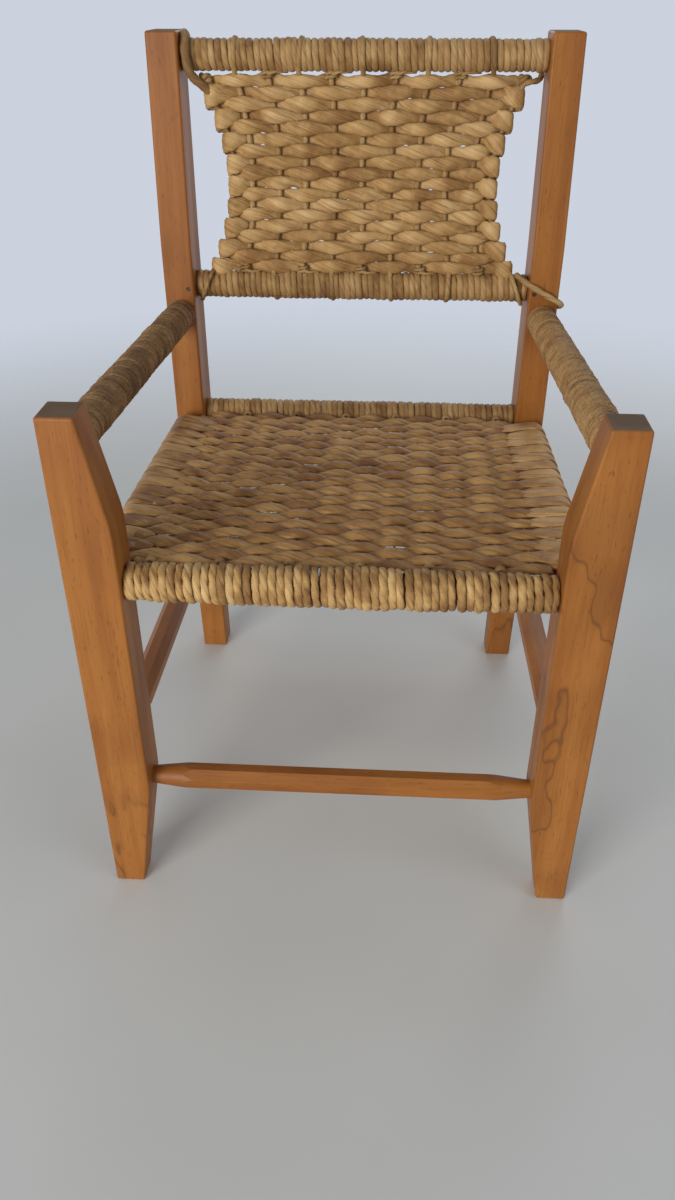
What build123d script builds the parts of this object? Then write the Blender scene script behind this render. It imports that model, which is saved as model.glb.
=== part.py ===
"""A child's open armchair: a pinned hardwood frame with rope-bound rails and a woven palm seat and back.

Millimetres, +Z up. The chair faces -Y. The origin is on the floor, under the middle of the chair.
"""

import os
from math import cos, pi, radians, sin, sqrt, tan

from build123d import *

os.makedirs("parts", exist_ok=True)

# ------------------------------------------------------------------ frame sizes
chair_height = 550.0  # floor to the tops of the back posts
arm_post_height = 377.0  # floor to the tops of the front legs
frame_width = 341.0  # across the outsides of the front legs
frame_depth = 350.0  # fronts of the front legs to the backs of the back posts

# front legs: a straight outer face and front, tapered on the inner and back faces
front_leg_width = 35.5
front_leg_depth = 31.0
front_leg_top_width = 23.0
front_leg_top_depth = 26.0
front_leg_foot_width = 21.5
front_leg_foot_depth = 21.0
front_leg_foot_taper = 92.0  # height at which the taper down to the foot starts
front_leg_top_taper = 305.0  # height at which the taper up to the top starts

# back posts: full in the middle, drawn in a little at the foot and at the top
back_post_inset = 7.5  # outside of a back post, in from the outside of a front leg
back_post_width = 24.5
back_post_depth = 39.0
back_post_end_width = 23.5
back_post_top_depth = 35.0
back_post_foot_depth = 25.0
back_post_foot_draw = 5.5  # how far the outer face comes in at the foot
back_post_top_draw = 3.0  # how far the outer face comes in at the top
back_post_foot_taper = 230.0
back_post_top_taper = 400.0

leg_bend_radius = 110.0  # softening where a face turns into its taper
leg_edge_radius = 1.8

# rails, by the height of their centre lines
seat_front_height = 262.0
seat_fall = 11.0  # from the front seat rail down to the back one
side_rail_drop = 4.0  # the side rails' back ends pass under the back rail's line
arm_front_drop = 22.0  # from the top of a front leg down to the arm
arm_fall = 11.0  # from the front of an arm down to its back
back_top_drop = 16.0  # from the tops of the back posts down to the top rail
back_panel_height = 169.0  # from the lower back rail up to the top rail
stretcher_height = 97.5  # front and back
side_stretcher_rise = 33.5  # the side stretchers lie above the front and back ones

seat_rail_radius = 7.0
seat_side_radius = 8.0
back_rail_radius = 7.0
arm_rail_radius = 9.4
rail_tenon_radius = 5.5
side_tenon_radius = 5.0
stretcher_width = 18.0  # across the flats
stretcher_sides = 8
stretcher_tenon_radius = 6.5
cone_start = 1.2  # a whittled end starts this far out from the wood
rail_cone = 12.0  # length of a round rail's whittled end
stretcher_cone = 30.0  # length of a stretcher's whittled end
front_tenon = 12.0
back_tenon = 13.0
side_tenon_front = 15.0
side_tenon_back = 12.0
tenon_tip_chamfer = 1.0
mortise_clearance = 0.12
mortise_end_gap = 0.5

nail_radius = 1.0
nail_length = 26.0
nail_head_radius = 1.8
nail_head_height = 1.0
nail_sink = 0.6  # how far the head lies below the wood
nail_clearance = 0.1
nail_edge_distance = 4.5  # from the post's inner face

# ----------------------------------------------------------------- rope and weave
soft_gap = 0.3  # between a wound or woven piece and what it lies on
seat_rope = 5.0  # rope round the front seat rail
rail_rope = 3.7  # rope round the other cross rails
arm_strand = 2.5  # fine strand round the arms
seat_rope_pitch = 6.1
rail_rope_pitch = 5.4
arm_strand_pitch = 2.4
rope_crown = 0.35  # a turn's crown over its valleys, as a share of the rope

warp_radius = 2.0
weft_thickness = 2.5
seat_warp_pitch = 22.2
seat_weft_width = 8.6  # one woven row
seat_weave_rise = 6.0  # the seat's middle plane over the front rail's centre line
band_thickness = 2.0
band_crown = 1.0

back_warp_pitch = 24.3
back_weft_width = 8.1  # one woven row
back_waist_share = 0.905  # the warps' spacing at the waist, as a share of that at the rails
back_edge_inset_top = 19.5  # from the back posts' inner faces in to the edge cords
back_edge_inset_middle = 37.5
back_edge_inset_bottom = 17.5
cord_end_room = 1.0  # room for a cord's slanted end
edge_turn_thickness = 3.2
row_gap = 0.7

tie_radius = 2.7
knot_radius = 4.5

# ------------------------------------------------------------------ derived places
front_face = -frame_depth / 2
back_face = frame_depth / 2
leg_outside = frame_width / 2
post_outside = leg_outside - back_post_inset
post_inside = post_outside - back_post_width
post_front = back_face - back_post_depth
front_rail_y = front_face + front_leg_depth / 2
back_rail_y = back_face - back_post_depth / 2
seat_back_height = seat_front_height - seat_fall
seat_side_back_height = seat_back_height - side_rail_drop
arm_front_height = arm_post_height - arm_front_drop
arm_back_height = arm_front_height - arm_fall
back_top_height = chair_height - back_top_drop
back_bottom_height = back_top_height - back_panel_height
side_stretcher_height = stretcher_height + side_stretcher_rise
SIDES = (("left", -1), ("right", 1))


def between(height, low, low_value, high, high_value):
    """A value that changes in a straight line from one height to another."""
    return low_value + (high_value - low_value) * (height - low) / (high - low)


def front_leg_at(height):
    """A front leg's inner face and back face at a height above the foot taper."""
    if height < front_leg_top_taper:
        return leg_outside - front_leg_width, front_face + front_leg_depth
    tapered = (height, front_leg_top_taper)
    width = between(*tapered, front_leg_width, arm_post_height, front_leg_top_width)
    depth = between(*tapered, front_leg_depth, arm_post_height, front_leg_top_depth)
    return leg_outside - width, front_face + depth


def back_post_at(height):
    """A back post's inner and outer faces at a height."""
    outside = post_outside
    width = back_post_width
    if height < back_post_foot_taper:
        foot_outside = post_outside - back_post_foot_draw
        outside = between(height, 0, foot_outside, back_post_foot_taper, post_outside)
        width = between(height, 0, back_post_end_width, back_post_foot_taper, back_post_width)
    if height > back_post_top_taper:
        tapered = (height, back_post_top_taper)
        outside = between(*tapered, post_outside, chair_height, post_outside - back_post_top_draw)
        width = between(*tapered, back_post_width, chair_height, back_post_end_width)
    return outside - width, outside


def axis_plane(start, end):
    """A plane at start whose local X runs along a bar's centre line."""
    along = Vector(*end) - Vector(*start)
    return Plane(origin=start, x_dir=along, z_dir=along.cross(Vector(0, 0, 1)))


def cut_mortise(start, end, radius, depth):
    """Bore into the part being built, from a bar's face point at start, away from its end."""
    inward = (Vector(*start) - Vector(*end)).normalized()
    lead = front_leg_depth / 4  # the bore starts this far outside a slanted face
    mouth = Vector(*start) - inward * lead
    with BuildSketch(Plane(origin=mouth, z_dir=inward)) as bore:
        Circle(radius + mortise_clearance)
    reach = lead + depth + mortise_end_gap
    extrude(bore.sketch, amount=reach, mode=Mode.SUBTRACT)


def leg_blank(height, front_outline, side_outline):
    """A leg from its front view and its side view, with softened bends and edges."""
    with BuildPart() as blank:
        for view, outline, mode in (
            (Plane.XZ, front_outline, Mode.ADD),
            (Plane.YZ, side_outline, Mode.INTERSECT),
        ):
            with BuildSketch(view) as profile:
                with BuildLine():
                    Polyline(*outline, close=True)
                make_face()
                bends = profile.vertices().filter_by_position(Axis.Y, 1, height - 1)
                fillet(bends, radius=leg_bend_radius)
            extrude(amount=frame_width + frame_depth, both=True, mode=mode)
        fillet(blank.edges(), radius=leg_edge_radius)
    return blank


# --------------------------------------------------------------- where the bars run
leg_inner, leg_back = front_leg_at(seat_front_height)
arm_leg_inner, arm_leg_back = front_leg_at(arm_front_height)
seat_side_offset = 1.0  # keeps the side rail's tenon clear of the front rail's


def post_middle(height):
    """The middle of a back post's front face, as a distance from the chair's centre plane."""
    return sum(back_post_at(height)) / 2


def side_bar(side, front_height, back_height, front_offset, front_back_face):
    """A bar that runs back from a front leg to a back post, as its two face points."""
    start = (side * front_offset, front_back_face, front_height)
    end = (side * post_middle(back_height), post_front, back_height)
    return start, end


def cross_bar(y, height, inner):
    """A bar that runs across between two inner faces, as its two face points."""
    return (-inner, y, height), (inner, y, height)


seat_front_bar = cross_bar(front_rail_y, seat_front_height, leg_inner)
stretcher_front_bar = cross_bar(front_rail_y, stretcher_height, leg_inner)
seat_back_bar = cross_bar(back_rail_y, seat_back_height, back_post_at(seat_back_height)[0])
back_bottom_bar = cross_bar(back_rail_y, back_bottom_height, back_post_at(back_bottom_height)[0])
back_top_bar = cross_bar(back_rail_y, back_top_height, back_post_at(back_top_height)[0])
stretcher_back_bar = cross_bar(back_rail_y, stretcher_height, back_post_at(stretcher_height)[0])

leg_middle = leg_outside - front_leg_width / 2
arm_leg_middle = (leg_outside + arm_leg_inner) / 2
seat_side_bars = {}
stretcher_side_bars = {}
arm_bars = {}
for name, side in SIDES:
    seat_side_bars[name] = side_bar(
        side, seat_front_height, seat_side_back_height, leg_middle + seat_side_offset, leg_back
    )
    stretcher_side_bars[name] = side_bar(
        side, side_stretcher_height, side_stretcher_height, leg_middle, leg_back
    )
    arm_bars[name] = side_bar(side, arm_front_height, arm_back_height, arm_leg_middle, arm_leg_back)

# each nail passes through a back post's front face into the lower back rail's tenon
nail_x = back_post_at(back_bottom_height)[0] + nail_edge_distance
nail_spots = [(side * nail_x, post_front, back_bottom_height) for name, side in SIDES]


def cut_nail_holes(head_room):
    """Bore for the nails, and let their heads into the wood where head_room is true."""
    for spot in nail_spots:
        with BuildSketch(Plane(origin=spot, z_dir=(0, 1, 0))) as shank_hole:
            Circle(nail_radius + nail_clearance)
        reach = nail_sink + nail_length + mortise_end_gap
        extrude(shank_hole.sketch, amount=reach, mode=Mode.SUBTRACT)
        if head_room:
            with BuildSketch(Plane(origin=spot, z_dir=(0, 1, 0))) as head_hole:
                Circle(nail_head_radius + nail_clearance)
            extrude(head_hole.sketch, amount=nail_sink + nail_head_height, mode=Mode.SUBTRACT)


# --------------------------------------------------------------------- front legs
# A front leg runs on above the seat to carry the arm. It takes the front seat rail and the
# front stretcher in its inner face, and a side rail, a side stretcher and an arm in its back.
for name, side in SIDES:
    outer = side * leg_outside
    inner = side * (leg_outside - front_leg_width)
    front_view = [
        (outer, 0),
        (outer, arm_post_height),
        (side * (leg_outside - front_leg_top_width), arm_post_height),
        (inner, front_leg_top_taper),
        (inner, front_leg_foot_taper),
        (side * (leg_outside - front_leg_foot_width), 0),
    ]
    side_view = [
        (front_face, 0),
        (front_face, arm_post_height),
        (front_face + front_leg_top_depth, arm_post_height),
        (front_face + front_leg_depth, front_leg_top_taper),
        (front_face + front_leg_depth, front_leg_foot_taper),
        (front_face + front_leg_foot_depth, 0),
    ]
    # a cross bar's first point lies on the left leg, and its second on the right leg
    inward = slice(None, None, side * -1)
    with BuildPart() as front_leg:
        add(leg_blank(arm_post_height, front_view, side_view).part)
        cut_mortise(*seat_front_bar[inward], rail_tenon_radius, front_tenon)
        cut_mortise(*stretcher_front_bar[inward], stretcher_tenon_radius, front_tenon)
        cut_mortise(*seat_side_bars[name], side_tenon_radius, side_tenon_front)
        cut_mortise(*stretcher_side_bars[name], stretcher_tenon_radius, front_tenon)
        cut_mortise(*arm_bars[name], rail_tenon_radius, front_tenon)
    front_leg.part.label = f"front_leg_{name}"
    export_step(front_leg.part, f"parts/front_leg_{name}.step")

# --------------------------------------------------------------------- back posts
# A back post runs from the floor to the top rail. It takes the seat, lower back and top rails
# and the back stretcher in its inner face, and a side rail, side stretcher and arm in its front.
for name, side in SIDES:
    front_view = []
    for height in (0, back_post_foot_taper, back_post_top_taper, chair_height):
        front_view.append((side * back_post_at(height)[1], height))
    for height in (chair_height, back_post_top_taper, back_post_foot_taper, 0):
        front_view.append((side * back_post_at(height)[0], height))
    side_view = [
        (post_front, 0),
        (post_front, chair_height),
        (post_front + back_post_top_depth, chair_height),
        (back_face, back_post_top_taper),
        (back_face, back_post_foot_taper),
        (post_front + back_post_foot_depth, 0),
    ]
    inward = slice(None, None, side * -1)
    with BuildPart() as back_post:
        add(leg_blank(chair_height, front_view, side_view).part)
        for bar in (seat_back_bar, back_bottom_bar, back_top_bar):
            cut_mortise(*bar[inward], rail_tenon_radius, back_tenon)
        cut_mortise(*stretcher_back_bar[inward], stretcher_tenon_radius, back_tenon)
        cut_mortise(*seat_side_bars[name][::-1], side_tenon_radius, side_tenon_back)
        cut_mortise(*stretcher_side_bars[name][::-1], stretcher_tenon_radius, back_tenon)
        cut_mortise(*arm_bars[name][::-1], rail_tenon_radius, back_tenon)
        cut_nail_holes(head_room=True)
    back_post.part.label = f"back_post_{name}"
    export_step(back_post.part, f"parts/back_post_{name}.step")


# ---------------------------------------------------------------- rails and stretchers
def whittled_outline(length, radius, tenon_radius, cone, start_tenon, end_tenon):
    """Half of a bar's outline: a round tenon, a whittled cone, the body, and the same again."""
    tip = tenon_tip_chamfer
    with BuildLine() as outline:
        Polyline(
            (-start_tenon, 0),
            (-start_tenon, tenon_radius - tip),
            (-start_tenon + tip, tenon_radius),
            (cone_start, tenon_radius),
            (cone, radius),
            (length - cone, radius),
            (length - cone_start, tenon_radius),
            (length + end_tenon - tip, tenon_radius),
            (length + end_tenon, tenon_radius - tip),
            (length + end_tenon, 0),
            close=True,
        )
    make_face(outline.edges())


def round_bar(start, end, radius, tenon_radius, start_tenon, end_tenon):
    """A round rail with whittled ends, turned about its centre line."""
    plane = axis_plane(start, end)
    length = (Vector(*end) - Vector(*start)).length
    with BuildPart() as bar:
        with BuildSketch(plane):
            whittled_outline(length, radius, tenon_radius, rail_cone, start_tenon, end_tenon)
        revolve(axis=Axis(plane.origin, plane.x_dir))
    return bar


def faceted_bar(start, end, start_tenon, end_tenon):
    """An eight-sided stretcher whose ends are whittled round and into tenons."""
    plane = axis_plane(start, end)
    length = (Vector(*end) - Vector(*start)).length
    corner_radius = stretcher_width / 2 / cos(pi / stretcher_sides)
    with BuildPart() as bar:
        first_tip = plane.origin - plane.x_dir * start_tenon
        with BuildSketch(Plane(origin=first_tip, x_dir=plane.z_dir, z_dir=plane.x_dir)):
            RegularPolygon(corner_radius, stretcher_sides, rotation=180 / stretcher_sides)
        extrude(amount=start_tenon + length + end_tenon)
        with BuildSketch(plane):
            whittled_outline(
                length,
                corner_radius,
                stretcher_tenon_radius,
                stretcher_cone,
                start_tenon,
                end_tenon,
            )
        revolve(axis=Axis(plane.origin, plane.x_dir), mode=Mode.INTERSECT)
    return bar


round_rails = {
    "seat_rail_front": (seat_front_bar, seat_rail_radius, front_tenon),
    "seat_rail_back": (seat_back_bar, seat_rail_radius, back_tenon),
    "back_rail_bottom": (back_bottom_bar, back_rail_radius, back_tenon),
    "back_rail_top": (back_top_bar, back_rail_radius, back_tenon),
}
for rail_name, (bar, radius, tenon) in round_rails.items():
    with BuildPart() as rail:
        add(round_bar(*bar, radius, rail_tenon_radius, tenon, tenon).part)
        if bar is back_bottom_bar:
            cut_nail_holes(head_room=False)
    rail.part.label = rail_name
    export_step(rail.part, f"parts/{rail_name}.step")

for name, side in SIDES:
    seat_side = round_bar(
        *seat_side_bars[name],
        seat_side_radius,
        side_tenon_radius,
        side_tenon_front,
        side_tenon_back,
    )
    seat_side.part.label = f"seat_rail_{name}"
    export_step(seat_side.part, f"parts/seat_rail_{name}.step")

    arm = round_bar(*arm_bars[name], arm_rail_radius, rail_tenon_radius, front_tenon, back_tenon)
    arm.part.label = f"arm_rail_{name}"
    export_step(arm.part, f"parts/arm_rail_{name}.step")

stretchers = {
    "stretcher_front": (stretcher_front_bar, front_tenon, front_tenon),
    "stretcher_back": (stretcher_back_bar, back_tenon, back_tenon),
    "stretcher_left": (stretcher_side_bars["left"], front_tenon, back_tenon),
    "stretcher_right": (stretcher_side_bars["right"], front_tenon, back_tenon),
}
for stretcher_name, (bar, start_tenon, end_tenon) in stretchers.items():
    stretcher = faceted_bar(*bar, start_tenon, end_tenon)
    stretcher.part.label = stretcher_name
    export_step(stretcher.part, f"parts/{stretcher_name}.step")

# ---------------------------------------------------------------------------- nails
with BuildPart() as frame_nails:
    for spot in nail_spots:
        with BuildSketch(Plane(origin=spot, z_dir=(0, 1, 0)).offset(nail_sink)):
            Circle(nail_head_radius)
        extrude(amount=nail_head_height)
        with BuildSketch(Plane(origin=spot, z_dir=(0, 1, 0)).offset(nail_sink)):
            Circle(nail_radius)
        extrude(amount=nail_length)
frame_nails.part.label = "frame_nails"
export_step(frame_nails.part, "parts/frame_nails.step")


# --------------------------------------------------------------------- rope-bound rails
def wound_sleeve(start, end, rail_radius, rope, pitch, crown, end_gap):
    """Rope wound side by side along a rail: a sleeve with one rounded ridge for each turn."""
    plane = axis_plane(start, end)
    length = (Vector(*end) - Vector(*start)).length - 2 * end_gap
    turns = round(length / pitch)
    turn = length / turns
    inner = rail_radius + soft_gap
    valley = inner + rope - crown
    with BuildPart() as sleeve:
        with BuildSketch(plane):
            with BuildLine():
                last = end_gap + length
                Polyline((end_gap, valley), (end_gap, inner), (last, inner), (last, valley))
                for index in range(turns):
                    left = end_gap + index * turn
                    top = (left + turn / 2, valley + crown)
                    ThreePointArc((left, valley), top, (left + turn, valley))
            make_face()
        revolve(axis=Axis(plane.origin, plane.x_dir))
    return sleeve


sleeve_end_gap = 0.5
arm_end_gap = 1.7  # the front leg's back face leans under the arm
seat_winding = (seat_rail_radius, seat_rope, seat_rope_pitch, sleeve_end_gap)
seat_back_winding = (seat_rail_radius, rail_rope, rail_rope_pitch, sleeve_end_gap)
back_winding = (back_rail_radius, rail_rope, rail_rope_pitch, sleeve_end_gap)
arm_winding = (arm_rail_radius, arm_strand, arm_strand_pitch, arm_end_gap)
wraps = {
    "seat_front_wrap": (seat_front_bar, seat_winding),
    "seat_back_wrap": (seat_back_bar, seat_back_winding),
    "back_bottom_wrap": (back_bottom_bar, back_winding),
    "back_top_wrap": (back_top_bar, back_winding),
    "arm_wrap_left": (arm_bars["left"], arm_winding),
    "arm_wrap_right": (arm_bars["right"], arm_winding),
}
for wrap_name, (bar, winding) in wraps.items():
    radius, rope, pitch, end_gap = winding
    wrap = wound_sleeve(*bar, radius, rope, pitch, rope * rope_crown, end_gap)
    wrap.part.label = wrap_name
    export_step(wrap.part, f"parts/{wrap_name}.step")

# ------------------------------------------------------------------------ seat weave
# The warp cords run from the front wrap to the back wrap. The palm wefts pass over and under
# them, row by row, and turn round the side rails as broad bands, one for each pair of rows.
front_wrap_radius = seat_rail_radius + soft_gap + seat_rope
back_wrap_radius = seat_rail_radius + soft_gap + rail_rope
warp_underside = seat_weave_rise - warp_radius
warp_reach = sqrt(front_wrap_radius**2 - warp_underside**2) + soft_gap
warp_front = Vector(0, front_rail_y + warp_reach, seat_front_height + seat_weave_rise)
warp_back = Vector(0, back_rail_y - back_wrap_radius - soft_gap, seat_back_height)
warp_run = warp_back - warp_front
warp_way = warp_run.normalized()
first_row_start = front_wrap_radius + soft_gap - warp_reach  # the wefts clear the wrap's front
seat_row_count = round((warp_run.length - first_row_start) / seat_weft_width)
seat_row_pitch = (warp_run.length - first_row_start) / seat_row_count
seat_warp_count = int(2 * (leg_inner - warp_radius) / seat_warp_pitch) + 1
weave_swing = warp_radius + soft_gap + weft_thickness / 2  # weft middle over the warp middle


def warp_places(count, pitch):
    """Places of evenly spaced warps, centred on the panel."""
    return [(index - (count - 1) / 2) * pitch for index in range(count)]


seat_warp_places = warp_places(seat_warp_count, seat_warp_pitch)
with BuildPart() as seat_warps:
    with BuildSketch(Plane(origin=warp_front, x_dir=(1, 0, 0), z_dir=warp_way)):
        with Locations(*[(place, 0) for place in seat_warp_places]):
            Circle(warp_radius)
    extrude(amount=warp_run.length)
seat_warps.part.label = "seat_warps"
export_step(seat_warps.part, "parts/seat_warps.step")


def weft_face(places, pitch, half_width, first_over):
    """A weft's side view: a flat bundle that waves over and under the warps, cut to length."""
    half = weft_thickness / 2
    first = places[0] - pitch / 2
    last = places[-1] + pitch / 2
    with BuildLine() as outline:
        for lift in (half, -half):
            Line((first - pitch, lift), (first, lift))
            for index, place in enumerate(places):
                swing = weave_swing if (index % 2 == 0) == first_over else -weave_swing
                crest = (place, swing + lift)
                ThreePointArc((place - pitch / 2, lift), crest, (place + pitch / 2, lift))
            Line((last, lift), (last + pitch, lift))
        Line((first - pitch, half), (first - pitch, -half))
        Line((last + pitch, half), (last + pitch, -half))
    make_face(outline.edges())
    Rectangle(2 * half_width, 4 * weave_swing, mode=Mode.INTERSECT)


seat_band_radius = seat_side_radius + soft_gap + band_thickness


def seat_half_width(y):
    """How far a weft reaches out at a place: to the side bands, or to a leg it runs beside."""
    start, end = seat_side_bars["right"]
    rail_x = start[0] + (end[0] - start[0]) * (y - start[1]) / (end[1] - start[1])
    reach = rail_x - seat_band_radius - soft_gap
    if y - seat_row_pitch < leg_back:
        reach = min(reach, leg_inner - row_gap)
    if y + seat_row_pitch > post_front:
        reach = min(reach, back_post_at(seat_back_height)[0] - row_gap)
    return reach


with BuildPart() as seat_wefts:
    for row in range(seat_row_count):
        middle = warp_front + warp_way * (first_row_start + (row + 0.5) * seat_row_pitch)
        with BuildSketch(Plane(origin=middle, x_dir=(1, 0, 0), z_dir=-warp_way)):
            weft_face(seat_warp_places, seat_warp_pitch, seat_half_width(middle.Y), row % 2 == 1)
    extrude(amount=(seat_row_pitch - row_gap) / 2, both=True)
seat_wefts.part.label = "seat_wefts"
export_step(seat_wefts.part, "parts/seat_wefts.step")

for name, side in SIDES:
    band = wound_sleeve(
        *seat_side_bars[name],
        seat_side_radius,
        band_thickness,
        2 * seat_row_pitch,
        band_crown,
        sleeve_end_gap,
    )
    band.part.label = f"seat_band_{name}"
    export_step(band.part, f"parts/seat_band_{name}.step")

# ------------------------------------------------------------------------ back weave
# The warp cords hang between the two bound back rails. The outermost pair are drawn in by the
# wefts, which turn round them, so the panel is waisted.
rail_wrap_radius = back_rail_radius + soft_gap + rail_rope
panel_top = back_top_height - rail_wrap_radius - soft_gap
panel_bottom = back_bottom_height + rail_wrap_radius + soft_gap
panel_middle = (panel_top + panel_bottom) / 2
panel_height = panel_top - panel_bottom
back_row_count = round(panel_height / back_weft_width)
back_row_pitch = panel_height / back_row_count
back_edge_top = post_inside - back_edge_inset_top
back_edge_middle = post_inside - back_edge_inset_middle
back_edge_bottom = post_inside - back_edge_inset_bottom
back_warp_count = int(2 * back_edge_middle / back_warp_pitch) + 1
back_warp_places = warp_places(back_warp_count, back_warp_pitch)

with BuildPart() as back_warps:
    for place in back_warp_places:
        top = (place, back_rail_y, panel_top - cord_end_room)
        waist = (place * back_waist_share, back_rail_y, panel_middle)
        bottom = (place, back_rail_y, panel_bottom + cord_end_room)
        with BuildLine():
            route = ThreePointArc(top, waist, bottom) if abs(place) > 1 else Line(top, bottom)
        with BuildSketch(Plane(origin=route @ 0, z_dir=route % 0)):
            Circle(warp_radius)
        sweep(path=route)
back_warps.part.label = "back_warps"
export_step(back_warps.part, "parts/back_warps.step")

# an edge cord is an arc through three points, from its corner knot down to the lower wrap
knot_height = back_top_height - rail_wrap_radius - soft_gap - knot_radius
edge_top = knot_height - knot_radius - cord_end_room
edge_bottom = panel_bottom + cord_end_room


def edge_arc(side):
    """The centre line of an edge cord, from the top down."""
    top = (side * back_edge_top, back_rail_y, edge_top)
    middle = (side * back_edge_middle, back_rail_y, (edge_top + edge_bottom) / 2)
    bottom = (side * back_edge_bottom, back_rail_y, edge_bottom)
    return ThreePointArc(top, middle, bottom)


# a turn is straight, so its bore leaves room for the cord's bow along it
right_edge = edge_arc(1)
turn_count = back_row_count // 2
turn_length = right_edge.length / turn_count - 2 * row_gap
turn_bow = turn_length**2 / (8 * right_edge.radius)
turn_bore = warp_radius + soft_gap + turn_bow
edge_turn_radius = turn_bore + edge_turn_thickness
for name, side in SIDES:
    with BuildPart() as edge_cord:
        with BuildLine():
            route = edge_arc(side)
        with BuildSketch(Plane(origin=route @ 0, z_dir=route % 0)):
            Circle(warp_radius)
        sweep(path=route)
    edge_cord.part.label = f"back_edge_cord_{name}"
    export_step(edge_cord.part, f"parts/back_edge_cord_{name}.step")

    with BuildPart() as edge_turns:
        for index in range(turn_count):
            share = (index + 0.5) / turn_count
            middle = route @ share
            along = route % share
            with BuildSketch(Plane(origin=middle, x_dir=along, z_dir=(0, 1, 0))):
                with BuildLine():
                    half = turn_length / 2
                    rim = turn_bore + edge_turn_thickness / 2
                    Polyline((-half, rim), (-half, turn_bore), (half, turn_bore), (half, rim))
                    ThreePointArc((-half, rim), (0, edge_turn_radius), (half, rim))
                make_face()
            revolve(axis=Axis(middle, along))
    edge_turns.part.label = f"back_edge_turns_{name}"
    export_step(edge_turns.part, f"parts/back_edge_turns_{name}.step")


def back_half_width(height):
    """How far a weft reaches out at a height: to the turns round the waisted edge cord."""
    centre = right_edge.arc_center
    edges = []
    for row_edge in (height - back_row_pitch / 2, height + back_row_pitch / 2):
        rise = min(max(row_edge, edge_bottom), edge_top) - centre.Z
        edges.append(centre.X - sqrt(right_edge.radius**2 - rise**2))
    return min(edges) - edge_turn_radius - row_gap


with BuildPart() as back_wefts:
    for row in range(back_row_count):
        height = panel_bottom + (row + 0.5) * back_row_pitch
        off_waist = (height - panel_middle) / (panel_height / 2)
        share = back_waist_share + (1 - back_waist_share) * off_waist**2
        places = [place * share for place in back_warp_places]
        with BuildSketch(Plane(origin=(0, back_rail_y, height), x_dir=(1, 0, 0), z_dir=(0, 0, 1))):
            weft_face(places, back_warp_pitch * share, back_half_width(height), row % 2 == 1)
    extrude(amount=(back_row_pitch - row_gap) / 2, both=True)
back_wefts.part.label = "back_wefts"
export_step(back_wefts.part, "parts/back_wefts.step")


# ------------------------------------------------------------------------------ ties
def tied_route(points):
    """Straight runs through the points, joined by arcs as large as the runs allow."""
    points = [Vector(*point) for point in points]
    radii = []
    for before, corner, after in zip(points, points[1:], points[2:]):
        turn = radians((corner - before).get_angle(after - corner))
        shorter = min((corner - before).length, (after - corner).length)
        radii.append(0.45 * shorter / tan(turn / 2))
    return FilletPolyline(*points, radius=radii)


tie_start = 25.0  # degrees forward of straight up
tie_step = 30.0
tie_points = 5


def over_rail(side, start_x, end_x, rail_height, wrap_radius, radius):
    """Points that lead a cord over the front of a bound rail, from its top to its underside."""
    reach = (wrap_radius + soft_gap + radius) / cos(radians(tie_step / 2))
    points = []
    for step in range(tie_points):
        angle = radians(tie_start + tie_step * step)
        x = start_x + (end_x - start_x) * step / (tie_points - 1)
        points.append((side * x, back_rail_y - reach * sin(angle), rail_height + reach * cos(angle)))
    return points


# At the top corners a thick strand comes over the rail to a knot. At the bottom corners the
# edge cord goes on over the front of the lower rail.
top_tie_start = back_post_at(back_top_height)[0] - tie_radius - row_gap
bottom_tie_start = back_edge_bottom + warp_radius / 2
bottom_tie_end = back_post_at(back_bottom_height)[0] - warp_radius - row_gap
with BuildPart() as corner_ties:
    for name, side in SIDES:
        top_corner = (top_tie_start, back_edge_top, back_top_height, rail_wrap_radius, tie_radius)
        bottom_corner = (
            bottom_tie_start,
            bottom_tie_end,
            back_bottom_height,
            rail_wrap_radius,
            warp_radius,
        )
        for corner in (top_corner, bottom_corner):
            with BuildLine():
                route = tied_route(over_rail(side, *corner))
            with BuildSketch(Plane(origin=route @ 0, z_dir=route % 0)):
                Circle(corner[-1])
            sweep(path=route)
        with Locations((side * back_edge_top, back_rail_y, knot_height)):
            Sphere(knot_radius)
corner_ties.part.label = "corner_ties"
export_step(corner_ties.part, "parts/corner_ties.step")

# A loose end of rope leaves the lower back rail, crosses the right post's front above the arm,
# and turns back along the post's outer face.
post_inner, post_outer = back_post_at(back_bottom_height)
tie_lift = soft_gap + tie_radius  # from the wood to the middle of the rope
tie_height = back_bottom_height + rail_wrap_radius + soft_gap
with BuildPart() as post_tie:
    with BuildLine():
        route = tied_route(
            [
                (post_inner - 10.5, post_front + 13, tie_height + 1),
                (post_inner - 5, post_front - tie_lift - 1, tie_height - 1),
                (post_outer + 1, post_front - tie_lift - 1, tie_height - 17),
                (post_outer + tie_lift + 1, post_front + 4, tie_height - 21),
                (post_outer + tie_lift, post_front + 16, tie_height - 25),
            ]
        )
    with BuildSketch(Plane(origin=route @ 0, z_dir=route % 0)):
        Circle(tie_radius)
    sweep(path=route)
post_tie.part.label = "post_tie"
export_step(post_tie.part, "parts/post_tie.step")
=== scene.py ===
from math import atan2, cos, hypot, pi, radians, sin

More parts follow.
